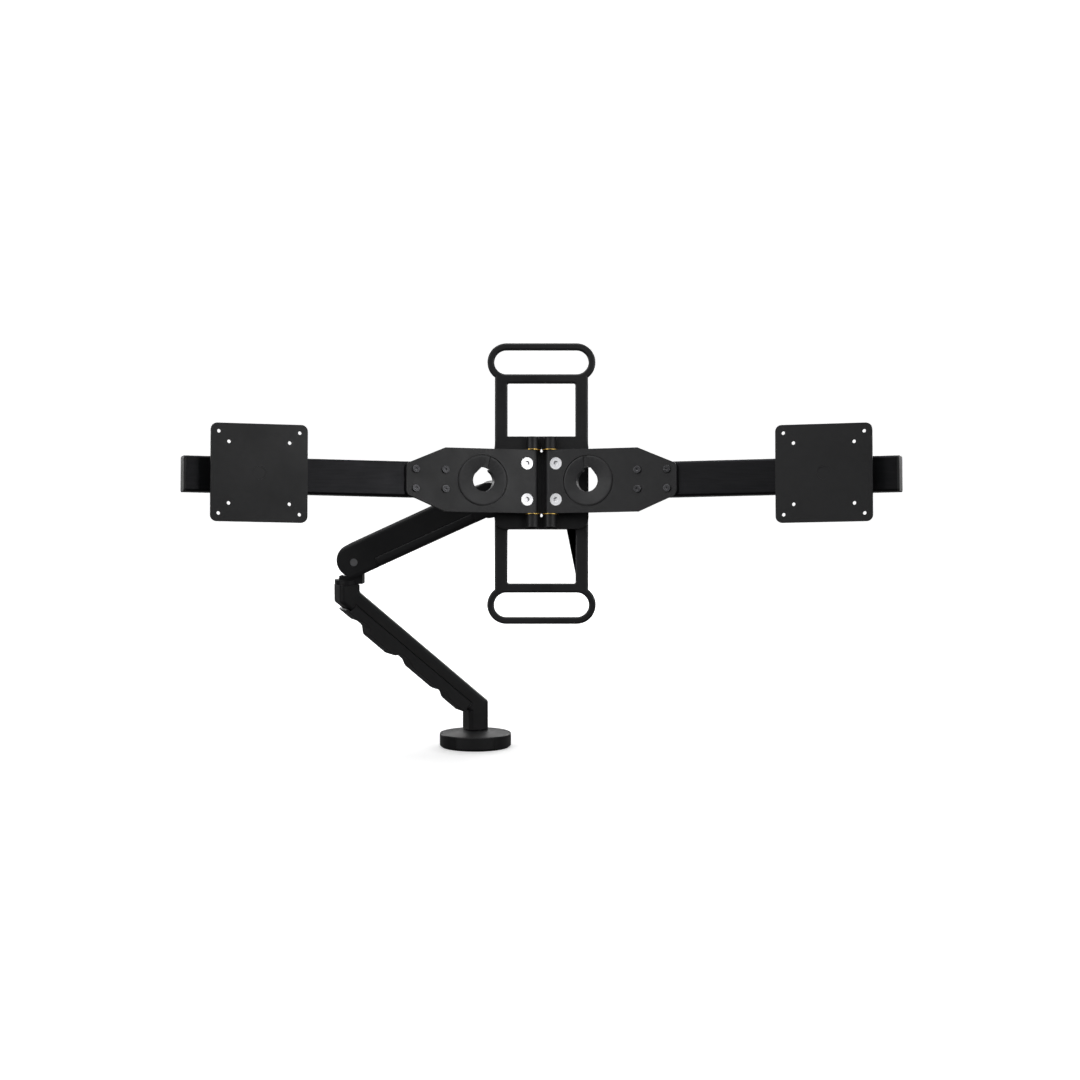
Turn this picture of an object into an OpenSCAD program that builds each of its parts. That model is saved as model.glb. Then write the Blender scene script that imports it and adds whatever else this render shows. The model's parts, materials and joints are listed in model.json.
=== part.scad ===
// Desk monitor arm with a tool bar and two hinged wings that each carry one display.
// The origin is on the desk surface, on the axis of the base. +Z is up and -Y faces the user.

/* [Base] */
// Diameter of the base disc
base_d = 95; // [80:1:120]
// Height of the top of the base rim above the desk
base_rim_h = 18.7; // [16:0.1:26]
// Rise of the domed cover from the rim to the post
base_dome_h = 4.6; // [3:0.1:8]
// Thickness of the rubber pad under the base
pad_t = 1.5; // [1:0.1:3]
// Half angle of the blank badge panel let into the rim
badge_half_angle = 32; // [20:1:45]

/* [Desk clamp] */
// Thickness of the desk top that is clamped
desk_t = 25; // [12:1:40]
// Radius of the threaded stud that goes through the desk
stud_r = 5; // [4:0.5:6]
// Side of the square clamp plate
clamp_w = 62; // [50:1:80]
// Thickness of the clamp plate
clamp_t = 6; // [4:0.5:10]
// Radius of the hand knob
knob_r = 19; // [16:0.5:26]

/* [Lower link] */
// Side of the square link section
link_w = 28; // [26:0.5:34]
// Corner radius of the link section
link_corner_r = 5.5; // [3:0.5:6]
// Height of the bend above the desk
link_bend_z = 55.6; // [52:0.1:65]
// Horizontal distance from the base axis to the elbow axis
link_reach = 183.2; // [150:1:230]
// Height of the upper bend above the desk
elbow_bend_z = 210.2; // [180:0.1:250]
// Heading of the link seen from above
link_heading = 205.9; // [160:1:250]
// Depth of the cast part of the link
link_casting_depth = 17; // [14:0.5:20]

/* [Spring arm] */
// Heading of the spring arm seen from above
arm_heading = -6.77; // [-30:0.1:20]
// Incline of the spring arm at rest
arm_incline = 24.96; // [10:0.1:40]
// Distance between the two arm pivots
arm_length = 193.6; // [160:1:240]
// Width of the arm shell
arm_w = 44; // [42:0.5:52]
// Height of the arm shell above the line of the pivots
arm_above = 24; // [23:0.5:30]
// Depth of the arm shell below the line of the pivots
arm_below = 19; // [18:0.5:24]
// Wall of the arm shell
arm_wall = 3; // [2:0.25:4]
// Offset of the elbow pivot from the elbow axis
elbow_offset = 13; // [10:0.5:20]
// Height of the elbow pivot above the top of the lower link
elbow_pivot_rise = 31; // [31:0.5:40]
// Distance of the parallel link above the arm pivots
parallel_offset = 14; // [12:0.5:15]
// Radius of the arm pivot pins
arm_pin_r = 5; // [4:0.5:6]

/* [Head] */
// Distance from the head pivot to the pan axis
head_offset = 66; // [60:1:90]
// Distance from the pan axis to the tilt axis
tilt_reach = 35.6; // [32:0.1:45]
// Distance of the tilt axis behind the wing hinge pins
tilt_depth = 45; // [42:0.5:60]
// Lean of the tool bar at rest
toolbar_tilt = 9.3; // [0:0.1:20]
// Radius of the tilt pin
tilt_pin_r = 5; // [4:0.5:6]

/* [Tool bar] */
// Overall height of the tool bar
toolbar_h = 356; // [320:1:420]
// Width over the two legs
legs_w = 118; // [110:1:140]
// Width over the rounded handles
handle_w = 137; // [128:1:160]
// Radius of the round handle ends
handle_r = 24.1; // [20:0.1:26]
// Width of the handle band
handle_band = 8.66; // [6:0.1:10]
// Height of the crossbar between a handle and a window
crossbar_h = 11.5; // [8:0.5:16]
// Width of a leg
leg_w = 16.1; // [12:0.1:20]
// Height of the solid middle of the bar
hub_h = 117; // [114:0.5:130]
// Thickness of the tool bar frame
frame_t = 10; // [8:0.5:14]
// Thickness of the hub plate
hub_t = 5.5; // [4:0.5:8]

/* [Wings] */
// Half distance between the two wing hinge pins
hinge_half_gap = 11.3; // [11:0.1:16]
// Radius of a hinge pin
hinge_pin_r = 4; // [3:0.1:4.5]
// Height of a wing plate
wing_h = 80; // [76:1:90]
// Length of a wing plate from its hinge pin
wing_length = 165; // [150:1:200]
// Angle that each wing is folded forward at rest
wing_fold = 16.5; // [0:0.1:30]
// Distance of the hinge screws from the hinge pin
hinge_screw_x = 9; // [8.8:0.1:10]
// Height between the two hinge screws of a wing
hinge_screw_gap = 45.6; // [36:0.1:56]
// Radius of the cable grommet flange
grommet_r = 31.5; // [28:0.5:33]
// Radius of the cable hole in a grommet
grommet_hole_r = 13.7; // [10:0.1:16]
// Distance of the left grommet from its hinge pin
grommet_x_left = 67; // [64:1:72]
// Distance of the right grommet from its hinge pin
grommet_x_right = 51; // [50:1:60]

/* [Beams] */
// Length of a beam
beam_length = 339; // [300:1:420]
// Height of the beam section
beam_h = 44; // [36:1:50]
// Depth of the beam section
beam_depth = 22; // [18:0.5:26]
// Wall of the beam
beam_wall = 2.5; // [2:0.1:4]
// Distance of a carriage from its hinge pin
carriage_x = 355; // [300:1:380]
// Side of the square display plate
vesa_w = 120; // [115:1:130]
// Hole spacing of the large display pattern
vesa_large = 100; // [100:0.5:100.5]
// Hole spacing of the small display pattern
vesa_small = 75; // [75:0.5:75.5]
// Clear radius of a display screw hole
vesa_hole_r = 2.25; // [2.1:0.05:2.5]

/* [Fits] */
// Radial clearance of a running fit
run_fit = 0.05; // [0.03:0.01:0.08]
// Gap between neighbouring covers
seam = 0.3; // [0.2:0.05:0.5]

/* [Hidden] */
SIDES = ["left", "right"];
$fn = 48;
far = 400;

// Base
base_r = base_d / 2;
post_foot_z = base_rim_h + base_dome_h + 0.6;
base_collar_r = link_w * 0.68;
spigot_r = 8;
bush_wall = 2;
badge_t = 2;

// Lower link
elbow_sleeve_h = 15.8;
elbow_top_z = elbow_bend_z + elbow_sleeve_h;
link_incline = atan2(elbow_bend_z - link_bend_z, link_reach);
link_length = norm([link_reach, elbow_bend_z - link_bend_z]);
link_half = link_w / 2;
link_end = 12;
elbow_shaft_r = 7;
cover_wall = 2.2;
// Each wave of the cable cover: its start, its end and its depth below the top of the link
COVER_WAVES = [[0.06, 0.165, 33], [0.262, 0.455, 32.3], [0.60, 0.767, 36.2], [0.89, 0.99, 31.2]];
COVER_VALLEY = 28;
cover_ramp = 0.05;

// Spring arm
elbow_x = link_reach * cos(link_heading);
elbow_y = link_reach * sin(link_heading);
elbow_pivot_z = elbow_top_z + elbow_pivot_rise;
knuckle_foot_h = 6;
lug_w = 18;
lug_r = 12;
lug_gap = 0.7;
elbow_boss_r = (arm_above + arm_below) / 2;
elbow_boss_lift = (arm_above - arm_below) / 2;
head_boss_r = arm_below + 4;
arm_inner_w = arm_w - 2 * arm_wall;
bearing_r = arm_pin_r + 3;
arm_split = -6;
link_pin_r = 2.5;
parallel_t = 5;
parallel_y = arm_inner_w / 2 - 2 - parallel_t;
spring_y = -5;
spring_z = -3;
spring_r = 9;
spring_wire_r = 1.5;

// Head
head_pivot_run = elbow_offset + arm_length * cos(arm_incline);
head_pivot_z = elbow_pivot_z + arm_length * sin(arm_incline);
pan_run = head_pivot_run + head_offset;
pan_x = elbow_x + pan_run * cos(arm_heading);
pan_y = elbow_y + pan_run * sin(arm_heading);
column_r = 15;
column_top = 8.3;
column_low = -17;
pan_shaft_r = 6;
yoke_gap = 0.8;
yoke_top = 49;
tilt_rise = 21.7;
ear_r = 11.5;
ear_t = 6;
tilt_lug_w = 27;
tilt_lug_r = 10.5;

// Tool bar, measured from the middle of its hinge line
hub_back_y = 8.5;
frame_y = hub_back_y + hub_t;
bracket_y = frame_y + frame_t;
bracket_w = 60;
bracket_t = 5;
bracket_screw_gap = 22;
slot_r = handle_r - handle_band;
handle_z = toolbar_h / 2 - handle_r;
window_top = handle_z - slot_r - crossbar_h;
window_w = legs_w - 2 * leg_w;
barrel_r = 8.5;
barrel_foot = 7.5;
washer_r = 10.4;
washer_t = 1.1;
washer_gap = 0.1;
hub_barrel_z = wing_h / 2 + washer_t + 2 * washer_gap;
hub_barrel_top = hub_h / 2 - 1.6;
tie_hole_z = 41;

// Wings, measured from the hinge pin
wing_barrel_r = 7;
wing_back_y = -1;
clamp_length = 30;
clamp_gap = 0.8;
beam_x = 101;
beam_y = wing_back_y;
beam_screw_xs = [beam_x + 14, wing_length - 12];
beam_screw_z = 12;
m8_r = 4;
grommet_depth = 12;
grommet_neck_r = 16.5;
flange_t = 1.7;
vesa_axis_y = -15;
vesa_front_y = -30;
vesa_t = 3;
vesa_block_r = 20;
vesa_boss_r = 8;
carriage_wall = 5;
carriage_w = 60;
slide_gap = 0.3;
carriage_ear_w = 5.7;
vesa_pin_r = 3;

// ---------- outlines ----------

function arc_points(c, r, a0, a1, n = 6) =
    [for (i = [0:n]) let (a = a0 + (a1 - a0) * i / n) [c[0] + r * cos(a), c[1] + r * sin(a)]];

function rounded_rect(w, h, r, n = 6) = concat(
    arc_points([w / 2 - r, h / 2 - r], r, 0, 90, n),
    arc_points([r - w / 2, h / 2 - r], r, 90, 180, n),
    arc_points([r - w / 2, r - h / 2], r, 180, 270, n),
    arc_points([w / 2 - r, r - h / 2], r, 270, 360, n)
);

// A plate that stands in the XZ plane, between depths y0 and y1
module upright(y0, y1) {
    translate([0, y1, 0]) rotate([90, 0, 0]) linear_extrude(y1 - y0) children();
}

// A round bar along Y between depths y0 and y1
module rod_y(r, y0, y1, x = 0, z = 0) {
    translate([x, y1, z]) rotate([90, 0, 0]) cylinder(r = r, h = y1 - y0);
}

// A round bar along X
module rod_x(r, x0, x1, y = 0, z = 0) {
    translate([x0, y, z]) rotate([0, 90, 0]) cylinder(r = r, h = x1 - x0);
}

// A box given by its low and high corners
module block(low, high) {
    translate(low) cube(high - low);
}

// ---------- places ----------

module in_link_plane() {
    rotate([0, 0, link_heading]) children();
}

module at_link_incline() {
    in_link_plane() translate([0, 0, link_bend_z]) rotate([0, -link_incline, 0]) children();
}

module at_elbow() {
    translate([elbow_x, elbow_y, 0]) rotate([0, 0, arm_heading]) children();
}

module at_elbow_pivot() {
    at_elbow() translate([elbow_offset, 0, elbow_pivot_z]) children();
}

module in_arm() {
    at_elbow_pivot() rotate([0, -arm_incline, 0]) children();
}

module at_head_pivot() {
    at_elbow() translate([head_pivot_run, 0, head_pivot_z]) children();
}

module at_pan() {
    translate([pan_x, pan_y, head_pivot_z]) children();
}

module in_toolbar() {
    at_pan() translate([0, -tilt_reach, tilt_rise]) rotate([-toolbar_tilt, 0, 0])
        translate([0, -tilt_depth, 0]) children();
}

// The wing frame has its origin on the hinge pin and +X outboard on both sides
module in_wing(side) {
    in_toolbar() mirror([side == "left" ? 1 : 0, 0, 0]) translate([hinge_half_gap, 0, 0])
        rotate([0, 0, -wing_fold]) children();
}

module at_carriage(side) {
    in_wing(side) translate([carriage_x, 0, 0]) children();
}

// ---------- base and desk fixing ----------

module desk_pad() {
    color("dimgray") difference() {
        cylinder(r = base_r - 2.5, h = pad_t, $fn = 96);
        translate([0, 0, -1]) cylinder(r = stud_r + 6, h = pad_t + 2);
    }
}

// The rim is a shallow cup that the dome closes
module base_casting() {
    recess_r = base_r - 2;
    color([0.06, 0.06, 0.07]) difference() {
        rotate_extrude($fn = 96) polygon(concat(
            [[0, pad_t], [base_r - 1, pad_t], [base_r, pad_t + 1]],
            arc_points([base_r - 1.6, base_rim_h - 1.6], 1.6, 0, 75, 5),
            [[recess_r, base_rim_h - 0.2], [recess_r, base_rim_h - 3], [0, base_rim_h - 3]]
        ));
        translate([0, 0, 4]) cylinder(r = spigot_r, h = base_rim_h);
        translate([0, 0, -1]) cylinder(r = stud_r + 0.02, h = base_rim_h);
        badge_sector(seam);
    }
}

// The ring sector that holds the badge panel
module badge_sector(grow) {
    edge = badge_half_angle + grow * 57.3 / base_r;
    reach = base_r * 1.6;
    intersection() {
        difference() {
            translate([0, 0, pad_t + 1.2 - grow])
                cylinder(r = base_r + 1, h = base_rim_h - 3.6 + 2 * grow, $fn = 96);
            cylinder(r = base_r - badge_t - grow, h = base_rim_h + 1, $fn = 96);
        }
        linear_extrude(base_rim_h + 2) polygon([
            [0, 0],
            [reach * cos(270 - edge), reach * sin(270 - edge)],
            [0, -reach * 1.4],
            [reach * cos(270 + edge), reach * sin(270 + edge)]
        ]);
    }
}

module badge_panel() {
    color([0.08, 0.08, 0.09]) intersection() {
        badge_sector(0);
        cylinder(r = base_r + 0.15, h = base_rim_h + 2, $fn = 96);
    }
}

module base_cover() {
    outer_r = base_r - 2 - seam;
    low = base_rim_h - 3;
    color([0.07, 0.07, 0.08]) difference() {
        rotate_extrude($fn = 96) polygon(concat(
            [[base_collar_r - 6, low], [outer_r, low], [outer_r, base_rim_h - 0.3]],
            [for (i = [1:8]) let (t = i / 8, r = outer_r + (base_collar_r - outer_r) * t)
                [r, base_rim_h - 0.3 + base_dome_h * (0.75 * t + 0.25 * t * t)]],
            [[base_collar_r - 6, base_rim_h - 0.3 + base_dome_h]]
        ));
        translate([0, 0, low - 1]) cylinder(r = spigot_r + 5, h = base_dome_h + 6);
    }
}

module swivel_spigot() {
    color("silver") difference() {
        translate([0, 0, 4]) cylinder(r = spigot_r, h = link_bend_z - 7);
        translate([0, 0, 3]) cylinder(r = stud_r, h = base_rim_h - 1);
    }
}

module desk_stud() {
    length = desk_t + 70;
    color("silver") translate([0, 0, -length]) cylinder(r = stud_r, h = length + base_rim_h);
}

module clamp_plate() {
    color([0.1, 0.1, 0.1]) translate([0, 0, -desk_t - clamp_t]) difference() {
        linear_extrude(clamp_t) polygon(rounded_rect(clamp_w, clamp_w, 10));
        translate([0, 0, -1]) cylinder(r = stud_r + 0.3, h = clamp_t + 2);
    }
}

module clamp_knob() {
    top = -desk_t - clamp_t - 0.4;
    color([0.1, 0.1, 0.1]) translate([0, 0, top - 18]) difference() {
        union() {
            translate([0, 0, 11]) cylinder(r = stud_r + 6, h = 7);
            cylinder(r = knob_r - 5, h = 12);
            for (a = [0:60:300]) rotate([0, 0, a]) translate([knob_r - 6, 0, 0]) cylinder(r = 5, h = 12);
        }
        translate([0, 0, -1]) cylinder(r = stud_r + 0.3, h = 20);
    }
}

// ---------- lower link ----------

// How deep the cable cover hangs below the top of the link at a share t of its length
function ramp(t) = let (u = max(0, min(1, t))) u * u * (3 - 2 * u);
function wave(t, w) =
    ramp((t - w[0] + cover_ramp) / cover_ramp) * ramp((w[1] + cover_ramp - t) / cover_ramp);
function cover_depth(t) = COVER_VALLEY
    + wave(t, COVER_WAVES[0]) * (COVER_WAVES[0][2] - COVER_VALLEY)
    + wave(t, COVER_WAVES[1]) * (COVER_WAVES[1][2] - COVER_VALLEY)
    + wave(t, COVER_WAVES[2]) * (COVER_WAVES[2][2] - COVER_VALLEY)
    + wave(t, COVER_WAVES[3]) * (COVER_WAVES[3][2] - COVER_VALLEY);

// The stations of the link's path in its own plane, each [x, z, direction, stretch of the section]
function link_path() = let (mitre = (90 + link_incline) / 2, stretch = 1 / cos((90 - link_incline) / 2)) [
    [0, post_foot_z, 90, 1],
    [0, link_bend_z, mitre, stretch],
    [link_reach, elbow_bend_z, mitre, stretch],
    [link_reach, elbow_top_z, 90, 1]
];

// The square section swept up the post, along the incline and up to the elbow
module link_casting() {
    section = rounded_rect(link_w, link_w, link_corner_r);
    path = link_path();
    n = len(section);
    top = n * (len(path) - 1);
    in_link_plane() polyhedron(
        points = [for (s = path, p = section)
            [s[0] + s[3] * p[0] * cos(s[2] - 90), p[1], s[1] + s[3] * p[0] * sin(s[2] - 90)]],
        faces = concat(
            [[for (i = [0:n - 1]) i]],
            [for (k = [0:len(path) - 2], i = [0:n - 1]) let (j = (i + 1) % n)
                [k * n + i, (k + 1) * n + i, (k + 1) * n + j, k * n + j]],
            [[for (i = [0:n - 1]) top + n - 1 - i]]
        ),
        convexity = 4
    );
}

// Below the casting's own depth the middle is open for the cables, which the cover hides
module lower_link() {
    casting_low = link_half - link_casting_depth;
    channel_low = 4 - link_half;
    channel_high = link_half - 4;
    color([0.06, 0.06, 0.07]) difference() {
        link_casting();
        at_link_incline() block(
            [link_end, -link_w, -link_w],
            [link_length - link_end, link_w, casting_low]
        );
        at_link_incline() block(
            [link_end, channel_low, casting_low - 1],
            [link_length - link_end, channel_high, link_half - 5]
        );
        translate([0, 0, post_foot_z - 1])
            cylinder(r = spigot_r + bush_wall, h = link_bend_z - post_foot_z + 1);
        translate([elbow_x, elbow_y, elbow_bend_z - 5])
            cylinder(r = elbow_shaft_r + bush_wall, h = elbow_top_z - elbow_bend_z + 6);
    }
}

module swivel_bush() {
    color("ivory") translate([0, 0, post_foot_z + 0.4]) difference() {
        cylinder(r = spigot_r + bush_wall, h = link_bend_z - post_foot_z - 0.4);
        translate([0, 0, -1]) cylinder(r = spigot_r + run_fit, h = link_bend_z);
    }
}

// A wavy clip-on channel that hides the cables below the casting
module cable_cover() {
    low_end = 4 - link_half;
    steps = 72;
    top = link_half - link_casting_depth - seam;
    under = -link_half - seam;
    start = 0.045;
    span = 0.93;
    low_x = link_end + seam;
    high_x = link_length - link_end - seam;
    outline = [for (i = [0:steps]) let (t = start + span * i / steps)
        [t * link_length, link_half - cover_depth(t)]];
    color([0.09, 0.09, 0.1]) at_link_incline() difference() {
        upright(0.6 - link_half, link_half - 0.6) polygon(concat(
            outline,
            [[(start + span) * link_length, under], [high_x, under], [high_x, top]],
            [[low_x, top], [low_x, under], [start * link_length, under]]
        ));
        upright(low_end + 1, link_half - 5) polygon(concat(
            [for (i = [8:steps - 8]) outline[i] + [0, cover_wall]],
            [[link_length - link_end - 4, top + 1], [link_end + 4, top + 1]]
        ));
    }
}

module elbow_bush() {
    color("ivory") translate([elbow_x, elbow_y, elbow_bend_z - 4]) difference() {
        cylinder(r = elbow_shaft_r + bush_wall, h = elbow_top_z - elbow_bend_z + 4);
        translate([0, 0, -1]) cylinder(r = elbow_shaft_r + run_fit, h = far);
    }
}

// ---------- elbow ----------

module elbow_shaft() {
    color("silver") at_elbow() translate([0, 0, elbow_bend_z - 3])
        cylinder(r = elbow_shaft_r, h = elbow_top_z - elbow_bend_z + 3 + knuckle_foot_h + 6);
}

// The eye of a knuckle with a second eye above it for the parallel link
module knuckle_eye(eye_r) {
    upright(-lug_w / 2, lug_w / 2) union() {
        circle(r = eye_r);
        translate([-4.9, 0]) square([9.8, parallel_offset]);
        translate([0, parallel_offset]) circle(r = 5);
    }
}

module knuckle_bores() {
    rod_y(arm_pin_r, -lug_w, lug_w);
    rod_y(link_pin_r, 0, lug_w, 0, parallel_offset);
}

module elbow_knuckle() {
    foot_z = elbow_top_z + 0.5;
    color([0.07, 0.07, 0.08]) difference() {
        union() {
            at_elbow() translate([0, 0, foot_z]) cylinder(r = 16, h = knuckle_foot_h);
            at_elbow_pivot() {
                knuckle_eye(lug_r);
                block([-elbow_offset + 2, -lug_w / 2, foot_z - elbow_pivot_z + 1], [9, lug_w / 2, -2]);
            }
            at_elbow() block([-8.8, -8.8, foot_z + 1], [8.8, 8.8, foot_z + knuckle_foot_h + 5]);
        }
        at_elbow() translate([0, 0, foot_z - 1]) cylinder(r = elbow_shaft_r, h = knuckle_foot_h + 6.5);
        at_elbow_pivot() knuckle_bores();
    }
}

module elbow_pin() {
    color("silver") at_elbow_pivot() rod_y(arm_pin_r, 0.6 - arm_w / 2, arm_w / 2 - 0.6);
}

module elbow_link_pin() {
    color("silver") at_elbow_pivot()
        rod_y(link_pin_r, 2, parallel_y + parallel_t + 0.6, 0, parallel_offset);
}

// ---------- spring arm ----------

// Side view of the arm, drawn smaller all round by inset
module arm_outline(inset = 0) {
    lift = elbow_boss_lift;
    union() {
        polygon([
            [0, -arm_below + inset],
            [arm_length, -arm_below + inset],
            [arm_length, arm_above - inset - 2],
            [arm_length - 14, arm_above - inset],
            [0, arm_above - inset]
        ]);
        polygon(arc_points([0, lift], elbow_boss_r - inset, 90, 270, 20));
        polygon(arc_points([arm_length, 0], head_boss_r - inset, -120, 125, 26));
    }
}

// A bar along the arm with rounded edges
module arm_section() {
    translate([-far / 4, 0, elbow_boss_lift]) rotate([90, 0, 90]) linear_extrude(arm_length + far / 2)
        polygon(rounded_rect(arm_w, arm_above + arm_below + 8, 9, 5));
}

// Upper casting of the arm: two cheeks, a back, and the eyes for both pivots
module arm_shell() {
    inner = arm_inner_w / 2;
    cover_end = 27;
    slot = lug_w / 2 + lug_gap;
    color([0.06, 0.06, 0.07]) in_arm() difference() {
        union() {
            difference() {
                intersection() {
                    upright(-arm_w / 2, arm_w / 2) arm_outline();
                    arm_section();
                }
                upright(-inner, inner) arm_outline(arm_wall);
                block([cover_end, -arm_w, -far / 4], [arm_length - cover_end, arm_w, arm_split]);
                block([-far / 4, -slot, -far / 4], [22, slot, 5]);
                translate([arm_length, 0, 0]) block([-8, -slot, -far / 4], [far / 4, slot, 17]);
            }
            for (x = [0, arm_length]) for (side = [-1, 1]) {
                y0 = side > 0 ? parallel_y + parallel_t + 0.5 : -inner - 0.5;
                y1 = side > 0 ? inner + 0.5 : -slot;
                rod_y(bearing_r, y0, y1, x);
            }
        }
        for (x = [0, arm_length]) rod_y(arm_pin_r + run_fit, -arm_w, arm_w, x);
    }
}

// Lower cover that closes the arm between its pivots
module arm_cover() {
    x0 = 27 + seam;
    inner = arm_inner_w / 2;
    color([0.09, 0.09, 0.1]) in_arm() difference() {
        intersection() {
            block([x0, -arm_w / 2, -arm_below], [arm_length - x0, arm_w / 2, arm_split - seam]);
            translate([-far / 4, 0, -arm_below + 20]) rotate([90, 0, 90])
                linear_extrude(arm_length + far / 2) polygon(rounded_rect(arm_w, 40, 7, 5));
        }
        block([x0 - 1, -inner, arm_wall - arm_below], [arm_length - x0 + 1, inner, 0]);
    }
}

// A helix along +X swept with a six-sided wire
module coil(r, wire_r, pitch, turns) {
    per_turn = 12;
    sides = 6;
    rings = turns * per_turn;
    points = [for (i = [0:rings]) for (k = [0:sides - 1])
        let (a = i * 360 / per_turn, b = k * 360 / sides, q = r + wire_r * cos(b))
        [a / 360 * pitch + wire_r * sin(b), q * cos(a), q * sin(a)]];
    faces = concat(
        [for (i = [0:rings - 1]) for (k = [0:sides - 1]) let (n = (k + 1) % sides)
            [i * sides + k, i * sides + n, (i + 1) * sides + n, (i + 1) * sides + k]],
        [[for (k = [sides - 1:-1:0]) k], [for (k = [0:sides - 1]) rings * sides + k]]
    );
    polyhedron(points, faces, convexity = 10);
}

module arm_spring() {
    color("silver") in_arm() translate([44, spring_y, spring_z])
        coil(spring_r - spring_wire_r, spring_wire_r, (arm_length - 112.6) / 9, 9);
}

// Guide rod with a fixed collar and an adjusting nut that hold the spring
module spring_rod() {
    color("darkgray") in_arm() union() {
        rod_x(3, 30, arm_length - 41.6, spring_y, spring_z);
        rod_x(10, 38, 42, spring_y, spring_z);
        rod_x(10, arm_length - 65.6, arm_length - 59.6, spring_y, spring_z);
        block(
            [arm_length - 49.6, spring_y - 9.5, -15.5],
            [arm_length - 44.6, spring_y + 9.5, arm_above - arm_wall - 0.1]
        );
    }
}

module parallel_link() {
    color("darkgray") at_elbow_pivot() translate([0, 0, parallel_offset]) rotate([0, -arm_incline, 0])
        difference() {
            union() {
                rod_y(5, parallel_y, parallel_y + parallel_t);
                rod_y(5, parallel_y, parallel_y + parallel_t, arm_length);
                block([0, parallel_y, -2.4], [arm_length, parallel_y + parallel_t, 2.4]);
            }
            rod_y(link_pin_r + run_fit, 0, arm_w, 0);
            rod_y(link_pin_r + seam, 0, arm_w, arm_length);
        }
}

// ---------- head ----------

module head_knuckle() {
    color([0.07, 0.07, 0.08]) difference() {
        union() {
            at_head_pivot() {
                knuckle_eye(lug_r);
                block([0, -lug_w / 2, -9.5], [head_offset, lug_w / 2, 7.5]);
                translate([head_offset, 0, column_low]) cylinder(r = column_r, h = column_top - column_low);
            }
        }
        at_head_pivot() {
            knuckle_bores();
            translate([head_offset, 0, column_low + 4]) cylinder(r = pan_shaft_r, h = far / 4);
        }
    }
}

module head_pin() {
    color("silver") at_head_pivot() rod_y(arm_pin_r, 0.6 - arm_w / 2, arm_w / 2 - 0.6);
}

module head_link_pin() {
    color("silver") at_head_pivot() rod_y(link_pin_r, 2, parallel_y + parallel_t + 0.6, 0, parallel_offset);
}

module pan_shaft() {
    color("silver") at_pan() translate([0, 0, column_low + 4])
        cylinder(r = pan_shaft_r, h = yoke_top - 5 - column_low - 4);
}

// A barrel on the pan shaft with two ears that hold the tilt pin
module tilt_yoke() {
    low = column_top + yoke_gap;
    ear_x = tilt_lug_w / 2 + 0.3;
    color([0.07, 0.07, 0.08]) at_pan() difference() {
        union() {
            translate([0, 0, low]) cylinder(r = column_r, h = yoke_top - low);
            block([-ear_x - ear_t, 15 - tilt_reach, low + 1.5], [ear_x + ear_t, -2, yoke_top - 3]);
            for (side = [-1, 1]) {
                x0 = side > 0 ? ear_x : -ear_x - ear_t;
                rod_x(ear_r, x0, x0 + ear_t, -tilt_reach, tilt_rise);
                block(
                    [x0, -tilt_reach, tilt_rise - ear_r + 1],
                    [x0 + ear_t, 16 - tilt_reach, tilt_rise + ear_r - 1]
                );
            }
        }
        translate([0, 0, low - 1]) cylinder(r = pan_shaft_r + bush_wall, h = yoke_top - 4 - low + 1);
        rod_x(tilt_pin_r, -far / 4, far / 4, -tilt_reach, tilt_rise);
    }
}

module pan_bush() {
    low = column_top + yoke_gap / 2;
    color("ivory") at_pan() translate([0, 0, low]) difference() {
        cylinder(r = pan_shaft_r + bush_wall, h = yoke_top - 4.5 - low);
        translate([0, 0, -1]) cylinder(r = pan_shaft_r + run_fit, h = far / 4);
    }
}

module pan_cap() {
    color([0.09, 0.09, 0.1]) at_pan() translate([0, 0, yoke_top]) rotate_extrude()
        polygon(concat([[0, 0]], arc_points([column_r - 2.5, 0], 2, 0, 90, 5), [[0, 2]]));
}

module tilt_pin() {
    reach = tilt_lug_w / 2 + 0.3 + ear_t;
    color("silver") at_pan() translate([0, -tilt_reach, tilt_rise]) union() {
        rod_x(tilt_pin_r, -reach - 1, reach + 1);
        rotate([0, 90, 0]) translate([0, 0, reach]) cylinder(r = 8, h = 4.5, $fn = 6);
        rod_x(8, -reach - 4, -reach);
    }
}

// ---------- tool bar ----------

module tilt_bracket() {
    color([0.07, 0.07, 0.08]) in_toolbar() difference() {
        union() {
            upright(bracket_y, bracket_y + bracket_t) polygon(rounded_rect(bracket_w, bracket_w, 8));
            rod_x(tilt_lug_r, -tilt_lug_w / 2, tilt_lug_w / 2, tilt_depth);
            block(
                [-tilt_lug_w / 2, bracket_y + 1, 1 - tilt_lug_r],
                [tilt_lug_w / 2, tilt_depth, tilt_lug_r - 1]
            );
        }
        rod_x(tilt_pin_r + run_fit, -far / 4, far / 4, tilt_depth);
        for (x = [-1, 1]) for (z = [-1, 1])
            rod_y(2.75, 0, far / 4, x * bracket_screw_gap, z * bracket_screw_gap);
    }
}

module handle_shape(w, r) {
    polygon(concat(
        arc_points([w / 2 - r, 0], r, -90, 90, 24),
        arc_points([r - w / 2, 0], r, 90, 270, 24)
    ));
}

module tie_holes(y0, y1) {
    for (side = [-1, 1]) for (end = [-1, 1]) rod_y(1.5, y0, y1, 0, side * tie_hole_z + end * 1.2);
    for (side = [-1, 1]) block([-1.4, y0, side * tie_hole_z - 1.2], [1.4, y1, side * tie_hole_z + 1.2]);
}

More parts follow.
